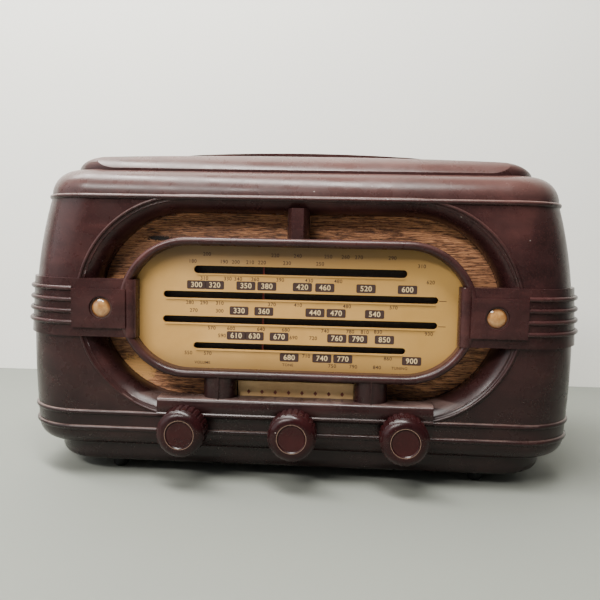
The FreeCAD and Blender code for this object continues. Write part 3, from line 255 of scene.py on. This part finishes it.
def dial_enamel():
    """Cream enamel, darker towards its ends and foot, with a painted shadow of the frame along the top and
    painted shade towards the right-hand side.
    """
    look = Look("dial_cream")
    x, _, z = look.split()
    patches = look.noise(22.0, 6.0, 0.65)
    fine = look.noise(700.0, 3.0, 0.6)
    body = look.ramp(patches, (0.3, (0.53, 0.285, 0.075)), (0.72, (0.64, 0.365, 0.110)))
    # Painted shadow of the frame along the top of the dial, broken up by the patches.
    frame_shadow_mask = look.math("ADD", look.band(z, 0.152, 0.184), look.math("MULTIPLY", patches, 0.25))
    body = look.mix(look.band(frame_shadow_mask, 0.15, 1.1, 0.0, 0.9), body, (0.135, 0.080, 0.042))
    ends = look.band(look.math("ABSOLUTE", x), 0.104, 0.131)
    body = look.mix(look.math("MULTIPLY", ends, 0.35), body, (0.30, 0.185, 0.075))
    foot = look.band(z, 0.108, 0.086)
    body = look.mix(look.math("MULTIPLY", foot, 0.75), body, (0.26, 0.150, 0.048))
    # Painted shade: the enamel darkens towards the right-hand side.
    body = look.mix(look.band(x, -0.02, 0.125, 0.0, 0.55), body, (0.36, 0.200, 0.042))
    look.colour(look.mix(look.band(fine, 0.62, 0.8, 0.0, 0.2), body, (0.35, 0.23, 0.11)))
    look.rough(look.band(patches, 0.3, 0.7, 0.33, 0.5))
    look.bump((look.noise(90.0, 4.0), 0.00012), (fine, 0.00001))
    return look.material


def woven_cloth():
    """Slubby horizontal weave: dark brown ground with copper threads that catch the light."""
    look = Look("grille_cloth", 0.62)
    x, _, z = look.split()
    slub = look.noise(480.0, 5.0, 0.75, stretch=(0.17, 1.0, 2.2), distort=0.8)
    drift = look.noise(26.0, 3.0, 0.6, stretch=(0.5, 1.0, 1.0))
    thread = look.noise(1500.0, 2.0, 0.5, stretch=(0.25, 1.0, 1.0))
    body = look.ramp(
        slub, (0.38, (0.030, 0.011, 0.006)), (0.47, (0.19, 0.074, 0.033)), (0.58, (0.74, 0.34, 0.155))
    )
    body = look.mix(look.band(drift, 0.35, 0.60, 0.45, 0.0), body, (0.06, 0.022, 0.010))
    body = look.mix(look.band(thread, 0.5, 0.75, 0.0, 0.4), body, (0.60, 0.27, 0.11))
    worn = look.near(x, z, -0.128, 0.0815, 0.0175, 0.0125, look.noise(260.0, 5.0, 0.7))
    body = look.mix(look.math("MULTIPLY", worn, 0.8), body, (0.80, 0.42, 0.13))
    tear = look.near(x, z, -0.1105, 0.1862, 0.0125, 0.0021, look.noise(700.0, 4.0, 0.7))
    body = look.mix(tear, body, (0.006, 0.003, 0.002))
    look.colour(body)
    look.rough(look.band(thread, 0.3, 0.7, 0.45, 0.75))
    look.skin.inputs["Sheen Weight"].default_value = 0.35
    look.skin.inputs["Sheen Roughness"].default_value = 0.4
    look.skin.inputs["Sheen Tint"].default_value = (0.9, 0.5, 0.25, 1.0)
    look.bump((slub, 0.0003), (thread, 0.0001))
    return look.material


def amber_lens():
    look = Look("amber_lens", 0.16)
    radius = look.from_porthole()
    clouds = look.noise(260.0, 4.0, 0.6)
    body = look.ramp(clouds, (0.3, (0.28, 0.115, 0.030)), (0.7, (0.52, 0.28, 0.100)))
    look.colour(look.mix(look.band(radius, 0.0045, 0.0070, 0.0, 0.85), body, (0.20, 0.075, 0.025)))
    look.skin.inputs["Subsurface Weight"].default_value = 0.12
    look.skin.inputs["Subsurface Radius"].default_value = (0.004, 0.002, 0.001)
    look.skin.inputs["Coat Weight"].default_value = 0.6
    look.skin.inputs["Coat Roughness"].default_value = 0.08
    look.bump((look.noise(480.0, 3.0), 0.00008))
    return look.material


def clear_glass():
    look = Look("valve_glass", 0.05)
    look.skin.inputs["Transmission Weight"].default_value = 0.9
    look.skin.inputs["IOR"].default_value = 1.45
    film = look.noise(60.0, 4.0)
    look.colour(look.ramp(film, (0.3, (0.70, 0.74, 0.76)), (0.7, (0.86, 0.88, 0.88))))
    look.rough(look.band(film, 0.3, 0.7, 0.03, 0.10))
    look.bump((film, 0.00004))
    return look.material


def print_ink(name, colour):
    look = Look(name, 0.55)
    worn = look.noise(1800.0, 3.0, 0.6)
    lighter = tuple(c * 1.5 + 0.01 for c in colour)
    look.colour(look.ramp(worn, (0.35, colour), (0.75, lighter)))
    look.rough(look.band(worn, 0.3, 0.7, 0.55, 0.75))
    look.bump((worn, 0.000006))
    return look.material


BROWN = (0.014, 0.0050, 0.0052), (0.031, 0.0106, 0.0108), (0.068, 0.023, 0.021)
MAROON = (0.009, 0.0013, 0.0018), (0.016, 0.0022, 0.0028), (0.028, 0.0048, 0.0052)
DISC_RED = (0.016, 0.0014, 0.0019), (0.026, 0.0022, 0.0028), (0.040, 0.005, 0.0055)
CABINET = bakelite("bakelite", *BROWN, dust_and_sheen=0.60, polish=0.22, beads_and_low_shade=True)
KNOBS = bakelite("knob_bakelite", *MAROON, dust_and_sheen=0.1, polish=0.22, gloss=0.28)
STEEL = metal("plated_steel", (0.50, 0.49, 0.45), 0.42, (1.0, 1.0, 6.0))
ALLOY = metal("aluminium", (0.72, 0.72, 0.73), 0.38, (1.0, 1.0, 8.0), 0.25)
BRASS = metal("brass", (0.62, 0.44, 0.18), 0.40)
IRON = plain("transformer_iron", (0.02, 0.02, 0.021), (0.05, 0.05, 0.052), 0.5, 260.0, 0.0001)
ENAMEL = plain("transformer_bell", (0.012, 0.012, 0.013), (0.03, 0.03, 0.032), 0.32)
BOARD = plain("fibreboard", (0.085, 0.052, 0.030), (0.16, 0.10, 0.058), 0.78, 500.0, 0.0001)
WOOD = plain("board", (0.26, 0.17, 0.09), (0.42, 0.30, 0.17), 0.7, 300.0)
RUBBER = plain("rubber", (0.008, 0.008, 0.008), (0.022, 0.022, 0.021), 0.72, 420.0)
BLACK = plain("backing_black", (0.007, 0.0045, 0.0035), (0.018, 0.011, 0.008), 0.6)
STRIP = plain("strip_tan", (0.62, 0.36, 0.15), (0.86, 0.56, 0.26), 0.42, 160.0, 0.00006)
PAPER = plain("cone_paper", (0.015, 0.013, 0.012), (0.035, 0.030, 0.026), 0.85, 500.0, 0.00012)
MOULDED = plain("valve_bakelite", (0.012, 0.008, 0.007), (0.028, 0.018, 0.014), 0.38)
SPEAKER = plain("speaker_metal", (0.035, 0.037, 0.040), (0.07, 0.073, 0.078), 0.4)
POINTER = plain("pointer_red", (0.10, 0.006, 0.004), (0.17, 0.012, 0.008), 0.45)
CORD = plain("cord", (0.22, 0.18, 0.11), (0.40, 0.34, 0.22), 0.75, 2500.0, 0.00006)
CREAM = dial_enamel()
CLOTH = woven_cloth()
LENS = amber_lens()
GLASS = clear_glass()
DARK_INK = print_ink("dial_brown_ink", (0.030, 0.010, 0.006))
PALE_INK = print_ink("dial_cream_ink", (0.58, 0.43, 0.23))
STRIP_INK = print_ink("strip_maroon_ink", (0.16, 0.035, 0.022))
RING_PAINT = print_ink("ring_cream_paint", (0.20, 0.125, 0.085))
KNOB_DISC = bakelite("knob_disc", *DISC_RED, dust_and_sheen=0.05, polish=0.17, gloss=0.3)

FINISHES = {
    "bakelite": CABINET,
    "knob_bakelite": KNOBS,
    "fibreboard": BOARD,
    "rubber": RUBBER,
    "plated_steel": STEEL,
    "brass": BRASS,
    "dial_cream": CREAM,
    "strip_tan": STRIP,
    "backing_black": BLACK,
    "amber_lens": LENS,
    "glass": GLASS,
    "grille_cloth": CLOTH,
    "board": WOOD,
    "speaker_metal": SPEAKER,
    "cone_paper": PAPER,
    "valve_bakelite": MOULDED,
    "aluminium": ALLOY,
    "transformer_iron": IRON,
    "transformer_bell": ENAMEL,
    "drum_alloy": ALLOY,
    "pointer_red": POINTER,
    "cord": CORD,
}


def dress(piece, material):
    piece.data.materials.clear()
    piece.data.materials.append(material)


def dress_frame():
    """Every CAD node gets the finish of its material slot, and smooth shading on its curves."""
    for entry in frame["record"]["subparts"]:
        node = NODES[entry["node"]]
        dress(node, FINISHES[entry["material_slot"]])
        node.data.shade_smooth()


# ---------------------------------------------------------------- the dial's printing

PRINT_Y = FRONT + 7.97 * MM


def lettering(words, x, z, size, y=PRINT_Y):
    """A mesh of flat figures centred on a point, facing -Y."""
    text = bpy.data.curves.new("words", "FONT")
    text.body = words
    text.size = size * MM
    text.align_x = "CENTER"
    text.align_y = "CENTER"
    text.space_character = 1.08
    text.offset = 0.00004 * size / 3
    holder = bpy.data.objects.new("words", text)
    bpy.context.scene.collection.objects.link(holder)
    bpy.context.view_layer.update()
    mesh = bpy.data.meshes.new_from_object(holder.evaluated_get(bpy.context.evaluated_depsgraph_get()))
    bpy.data.objects.remove(holder)
    mesh.transform(Matrix.Translation((x * MM, y, z * MM)) @ Matrix.Rotation(math.pi / 2, 4, "X"))
    return mesh


def tablet(x, z, width, height, corner=1.1):
    """A flat rounded rectangle on the dial."""
    points = []
    for sx, sz, start in ((1, 1, 0), (-1, 1, 90), (-1, -1, 180), (1, -1, 270)):
        cx = x + sx * (width / 2 - corner)
        cz = z + sz * (height / 2 - corner)
        for step in range(5):
            turn = math.radians(start + 22.5 * step)
            points.append((cx + corner * math.cos(turn), cz + corner * math.sin(turn)))
    mesh = bpy.data.meshes.new("tablet")
    mesh.from_pydata([(a * MM, PRINT_Y, b * MM) for a, b in points], [], [list(range(len(points)))[::-1]])
    return mesh


def merged(name, meshes, material, body="set"):
    """One piece from several meshes."""
    verts = []
    faces = []
    for mesh in meshes:
        first = len(verts)
        verts += [tuple(v.co) for v in mesh.vertices]
        faces += [[first + i for i in p.vertices] for p in mesh.polygons]
        bpy.data.meshes.remove(mesh)
    whole = bpy.data.meshes.new(name)
    whole.from_pydata(verts, [], faces)
    piece = bpy.data.objects.new(name, whole)
    bpy.context.scene.collection.objects.link(piece)
    dress(piece, material)
    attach(piece, body)
    return piece


def print_dial():
    """Wavelength figures in rows beside the slots, some on dark tablets."""
    tablets = {
        151.6: [(-77, "30"), (-63, "32"), (-39, "35"), (-23, "38")]
        + [(4, "42"), (21, "46"), (52, "52"), (83, "60")],
        132.4: [(-44, "33"), (-25, "36"), (14, "44"), (30, "47"), (59, "54")],
        113.2: [(-46, "61"), (-32, "63"), (-13, "67"), (31, "76"), (47, "79"), (67, "85")],
        97.5: [(-5, "68"), (20, "74"), (36, "77"), (88, "90")],
    }
    figures = {
        175.0: [(-69, "20"), (-17, "22"), (0, "24"), (23, "25"), (36, "26"), (46, "27"), (71, "29")],
        169.4: [(-80, "18"), (-56, "19"), (-47, "20"), (-36, "21"), (-27, "22"), (-8, "23"), (17, "25")],
        156.6: [(-71, "31"), (-53, "33"), (-45, "34"), (-32, "36"), (-13, "39"), (9, "43"), (31, "48")],
        137.8: [(-82, "28"), (-71, "29"), (-59, "31"), (-19, "37"), (1, "41"), (38, "48"), (73, "57")],
        131.8: [(-79, "27"), (-59, "30")],
        118.6: [(-65, "57"), (-50, "60"), (-27, "64"), (-8, "68"), (22, "74"), (41, "78"), (52, "81")],
        112.8: [(-57, "59"), (-2, "69"), (13, "72")],
        98.8: [(-83, "55"), (-68, "57"), (8, "71"), (70, "86")],
        91.8: [(28, "75"), (44, "79"), (62, "84")],
    }
    strays = [(93, 169.3, "31"), (100, 157.4, "62"), (62, 119.0, "83"), (100, 118.5, "93")]
    dark = []
    pale = []
    for z, row in tablets.items():
        for x, words in row:
            dark.append(tablet(x, z, 14.6, 6.6))
            pale.append(lettering(words + "0", x, z - 0.1, 5.6, PRINT_Y - 0.00004))
    for z, row in figures.items():
        dark += [lettering(words + "0", x, z, 3.9) for x, words in row]
    dark += [lettering(words + "0", x, z, 3.9) for x, z, words in strays]
    for x, words in ((-72, "VOLUME"), (-6, "TONE"), (79, "TUNING")):
        dark.append(lettering(words, x, 91.6, 3.0))
    for z in (143.6, 124.4):
        dark.append(tablet(109.6, z, 5.6, 0.5, 0.2))
    merged("dial_figures_dark", dark, DARK_INK)
    merged("dial_figures_pale", pale, PALE_INK)


def print_strip():
    """A row of small lozenges along the tan strip."""
    y = FRONT + 13.95 * MM
    marks = []
    for n in range(8):
        x = -36.5 + 10.4 * n
        mesh = bpy.data.meshes.new("lozenge")
        corners = [(0, 1.9), (1.5, 0), (0, -1.9), (-1.5, 0)]
        verts = [((x + a) * MM, y, (68.6 + b) * MM) for a, b in corners]
        mesh.from_pydata(verts, [], [[0, 1, 2, 3]])
        marks.append(mesh)
    merged("strip_marks", marks, STRIP_INK)


KNOB_Z = 43.8
KNOB_BODIES = {"volume_spindle": -82.0, "tone_spindle": 0.0, "tuning_spindle_set": 82.0}


def ring_mesh(x, rings, closed=False):
    """A turned face round a knob's axis through (radius, depth) rings, facing -Y."""
    steps = 96
    verts = []
    for radius, depth in rings:
        for n in range(steps):
            turn = math.tau * n / steps
            across = x + radius * math.cos(turn)
            verts.append((across * MM, FRONT + depth * MM, (KNOB_Z + radius * math.sin(turn)) * MM))
    faces = []
    for band in range(len(rings) - 1):
        for n in range(steps):
            a = band * steps + n
            b = band * steps + (n + 1) % steps
            faces.append((a, b, b + steps, a + steps))
    if closed:
        faces.append(tuple(range(steps))[::-1])
    return mesh_of(verts, faces)


def mesh_of(verts, faces):
    mesh = bpy.data.meshes.new("turned_face")
    mesh.from_pydata(verts, [], faces)
    mesh.shade_smooth()
    return mesh


def face_knobs():
    """A red dished disc and a fine cream ring painted on each knob."""
    dish = [(0.3, -25.06)] + [(r, -25.06 - 0.18 * (r / 9.5) ** 2) for r in (2, 4, 6, 8, 9.5)]
    ring = [(10.55, -26.03), (10.85, -26.03)]
    for body, x in KNOB_BODIES.items():
        disc = merged(f"{body}_disc", [ring_mesh(x, dish, closed=True)], KNOB_DISC, body)
        merged(f"{body}_ring", [ring_mesh(x, ring)], RING_PAINT, body)


# ---------------------------------------------------------------- grille cloth


THREAD_PITCH = 0.00150


def make_cloth():
    """The speaker cloth: a stretched sheet with raised slubby threads."""
    low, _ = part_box("speaker_cloth")
    centre_x, centre_z, radius = 0.084, 0.1345, 0.0732
    columns, rows = 300, 420
    face = low.y + 0.00015
    verts = []
    faces = []
    for j in range(rows + 1):
        across = math.sin(math.pi * (j / rows - 0.5))
        z = centre_z + radius * across * 0.9995
        reach = centre_x + radius * math.sqrt(max(0.0, 1 - across * across * 0.999))
        for i in range(columns + 1):
            x = reach * (2 * i / columns - 1)
            wander = 1.2 * math.sin(x * 61.0) + 0.8 * math.sin(x * 173.0 + z * 90)
            thread = math.sin(z * math.tau / THREAD_PITCH + wander)
            sag = math.sin(x * 37.0 + 2.0) * math.sin(z * 71.0)
            verts.append((x, face + 0.00018 - 0.00012 * thread + 0.00010 * sag, z))
    for j in range(rows):
        for i in range(columns):
            a = j * (columns + 1) + i
            faces.append((a, a + 1, a + columns + 2, a + columns + 1))
    mesh = bpy.data.meshes.new("grille_cloth_sheet")
    mesh.from_pydata(verts, [], faces)
    piece = bpy.data.objects.new("grille_cloth_sheet", mesh)
    bpy.context.scene.collection.objects.link(piece)
    mesh.shade_smooth()
    dress(piece, CLOTH)
    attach(piece, "set")
    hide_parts("speaker_cloth")


# ---------------------------------------------------------------- room, light and camera


def stage_look(name, colour):
    look = Look(name, 0.7)
    lighter = tuple(min(1.0, c * 1.04) for c in colour)
    look.colour(look.ramp(look.noise(3.0, 4.0), (0.3, colour), (0.7, lighter)))
    return look.material


def make_stage():
    for name, size, place, turn, colour in (
        ("floor", (6.0, 3.4), (0, -1.4, 0.0), 0.0, (0.19, 0.20, 0.175)),
        ("backdrop", (8.0, 4.0), (0, 0.30, 1.99), math.pi / 2, (0.84, 0.83, 0.78)),
    ):
        mesh = bpy.data.meshes.new(name)
        w, d = size[0] / 2, size[1] / 2
        mesh.from_pydata([(-w, -d, 0), (w, -d, 0), (w, d, 0), (-w, d, 0)], [], [(0, 1, 2, 3)])
        mesh.transform(Matrix.Translation(place) @ Matrix.Rotation(turn, 4, "X"))
        piece = bpy.data.objects.new(name, mesh)
        bpy.context.scene.collection.objects.link(piece)
        dress(piece, stage_look(name, colour))


def area_light(name, place, aim, size, power, colour=(1, 1, 1)):
    data = bpy.data.lights.new(name, "AREA")
    data.shape = "RECTANGLE"
    data.size, data.size_y = size
    data.energy = power
    data.color = colour
    lamp = bpy.data.objects.new(name, data)
    lamp.location = place
    lamp.rotation_mode = "QUATERNION"
    lamp.rotation_quaternion = (Vector(aim) - Vector(place)).to_track_quat("-Z", "Y")
    bpy.context.scene.collection.objects.link(lamp)


def make_lights():
    world = bpy.data.worlds.new("room")
    bpy.context.scene.world = world
    world.use_nodes = True
    world.node_tree.nodes["Background"].inputs["Color"].default_value = (0.86, 0.88, 0.90, 1)
    world.node_tree.nodes["Background"].inputs["Strength"].default_value = 0.18
    area_light("overhead", (-0.25, -0.30, 1.3), (0, -0.05, 0.2), (1.5, 0.08), 19, (1.0, 0.97, 0.94))
    area_light("front_high", (-0.60, -1.03, 1.00), (0, -0.09, 0.13), (0.9, 0.15), 19, (1.0, 0.97, 0.93))
    area_light("wall_wash", (-0.5, -0.15, 1.3), (-0.2, 0.30, 0.35), (1.8, 0.3), 42, (1.0, 1.0, 0.95))
    area_light("left_side", (-1.5, -0.7, 0.8), (0, 0, 0.14), (1.6, 1.2), 10, (0.97, 0.98, 1.0))


def make_camera():
    turn = Matrix.Rotation(math.radians(3.2), 3, "Z") @ Matrix.Rotation(math.radians(-5.3), 3, "X")
    turn = turn @ Matrix.Rotation(math.radians(-1.2), 3, "Y") @ Matrix.Rotation(math.pi / 2, 3, "X")
    data = bpy.data.cameras.new("camera")
    data.lens = 39.0
    data.sensor_width = 36.0
    camera = bpy.data.objects.new("camera", data)
    camera.matrix_world = Matrix.Translation((0.0298, -0.5729, 0.1874)) @ turn.to_4x4()
    bpy.context.scene.collection.objects.link(camera)
    bpy.context.scene.camera = camera


# ---------------------------------------------------------------- make everything

dress_frame()
print_dial()
print_strip()
face_knobs()
make_cloth()
make_stage()
make_lights()
make_camera()
